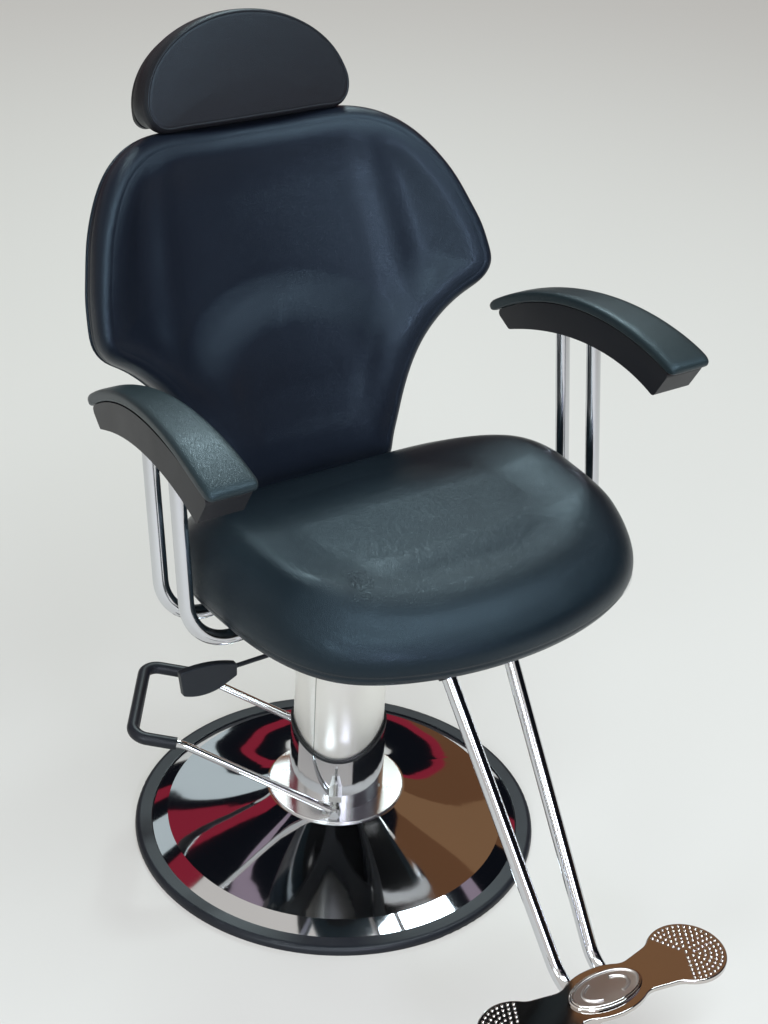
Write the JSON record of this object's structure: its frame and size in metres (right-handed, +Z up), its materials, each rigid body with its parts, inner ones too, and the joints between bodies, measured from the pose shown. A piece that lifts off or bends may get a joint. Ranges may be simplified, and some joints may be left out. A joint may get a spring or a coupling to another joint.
{
  "type": "salon chair",
  "caption": "Reclining hydraulic salon chair for threading, with a wide curved back, a sliding headrest, arms, a footrest and a round pedestal base.",
  "frame": {"origin": "on the floor at the centre of the round base", "axes": "+Z up, front of the chair (footrest) towards -Y, sitter's left towards +X"},
  "size_m": [0.7138, 0.9841, 1.0921],
  "materials": {
    "chrome": "polished",
    "satin_steel": "satin",
    "zinc_steel": "zinc plated",
    "black_rubber": "matt",
    "black_plastic": "satin",
    "black_vinyl": "semi-gloss",
    "black_paint": "semi-gloss",
    "cast_housing": "painted",
    "polished_aluminium": "polished",
    "seat_board": "plywood"
  },
  "bodies": {
    "base": {"base_rim_ring": "black_rubber", "base_dome": "chrome", "column_flange": "chrome", "pump_housing": "cast_housing", "flange_bolts": "zinc_steel", "column_cup": "chrome", "cup_wiper": "black_rubber", "pump_cylinder": "zinc_steel", "pedal_pivots": "zinc_steel", "plunger_guide": "zinc_steel"},
    "pedal": {"pedal_bar": "chrome", "pedal_grip": "black_rubber"},
    "plunger": {"pump_plunger": "zinc_steel"},
    "lift": {"lift_sleeve": "satin_steel", "sleeve_cap": "zinc_steel", "piston_rod": "chrome"},
    "seat": {"swivel_hub": "black_paint", "mount_plate": "black_paint", "hub_bolts": "zinc_steel", "frame_rail_left": "black_paint", "frame_rail_right": "black_paint", "frame_cross_front": "black_paint", "frame_cross_rear": "black_paint", "board_tabs": "black_paint", "board_screws": "zinc_steel", "seat_board": "seat_board", "seat_cushion": "black_vinyl", "arm_hoop_rear": "chrome", "arm_hoop_front": "chrome", "arm_body_left": "black_vinyl", "arm_body_right": "black_vinyl", "arm_pad_left": "black_vinyl", "arm_pad_right": "black_vinyl", "hinge_bolts": "zinc_steel", "gas_cylinder": "black_paint", "spring_bracket": "black_paint", "spring_pin": "zinc_steel", "lever_bracket": "black_paint", "lever_pin": "zinc_steel", "foot_tube_left": "chrome", "foot_tube_right": "chrome", "foot_socket_left": "black_plastic", "foot_socket_right": "black_plastic", "foot_plate": "polished_aluminium", "foot_screws": "zinc_steel"},
    "back": {"back_pad": "black_vinyl", "back_shell": "black_vinyl", "back_bracket_left": "black_paint", "back_bracket_right": "black_paint", "bracket_screws": "zinc_steel", "headrest_guides": "zinc_steel", "guide_bezels": "black_plastic"},
    "headrest": {"headrest_posts": "chrome", "headrest_board": "black_vinyl", "headrest_pad": "black_vinyl"},
    "gas_rod": {"gas_rod": "chrome", "rod_clevis": "zinc_steel"},
    "recline_lever": {"lever_rod": "zinc_steel", "lever_paddle": "black_plastic"}
  },
  "joints": [
    {"name": "pedal_pivot", "type": "hinge", "parent": "base", "child": "pedal", "pos_m": [0, 0, 0.0785], "axis": [-0.5621, -0.8271, 0], "range_deg": [0, 18], "stiffness_Nm_per_rad": 6, "springref_deg": -20.05},
    {"name": "plunger_stroke", "type": "slide", "parent": "base", "child": "plunger", "axis": [0, 0, 1], "range_m": [0, 0.0052]},
    {"name": "lift", "type": "slide", "parent": "base", "child": "lift", "axis": [0, 0, 1], "range_m": [-0.09, 0.022]},
    {"name": "swivel", "type": "hinge", "parent": "lift", "child": "seat", "pos_m": [0, 0, 0.42], "axis": [0, 0, 1], "continuous": true},
    {"name": "recline", "type": "hinge", "parent": "seat", "child": "back", "pos_m": [0, 0.112, 0.474], "axis": [-1, 0, 0], "range_deg": [-5, 45]},
    {"name": "gas_rod_slide", "type": "slide", "parent": "seat", "child": "gas_rod", "axis": [0, -1, 0], "range_m": [-0.00464, 0.04168]},
    {"name": "headrest_height", "type": "slide", "parent": "back", "child": "headrest", "axis": [0, 0.3665, 0.9304], "range_m": [0, 0.06]},
    {"name": "recline_lever_lift", "type": "hinge", "parent": "seat", "child": "recline_lever", "pos_m": [-0.08, -0.1, 0.404], "axis": [0, 1, 0], "range_deg": [0, 7], "stiffness_Nm_per_rad": 3, "springref_deg": -6.88}
  ],
  "couplings": [
    {"joint": "plunger_stroke", "follows": "pedal_pivot", "m_per_rad": 0.0159},
    {"joint": "gas_rod_slide", "follows": "recline", "m_per_rad": 0.05306}
  ]
}
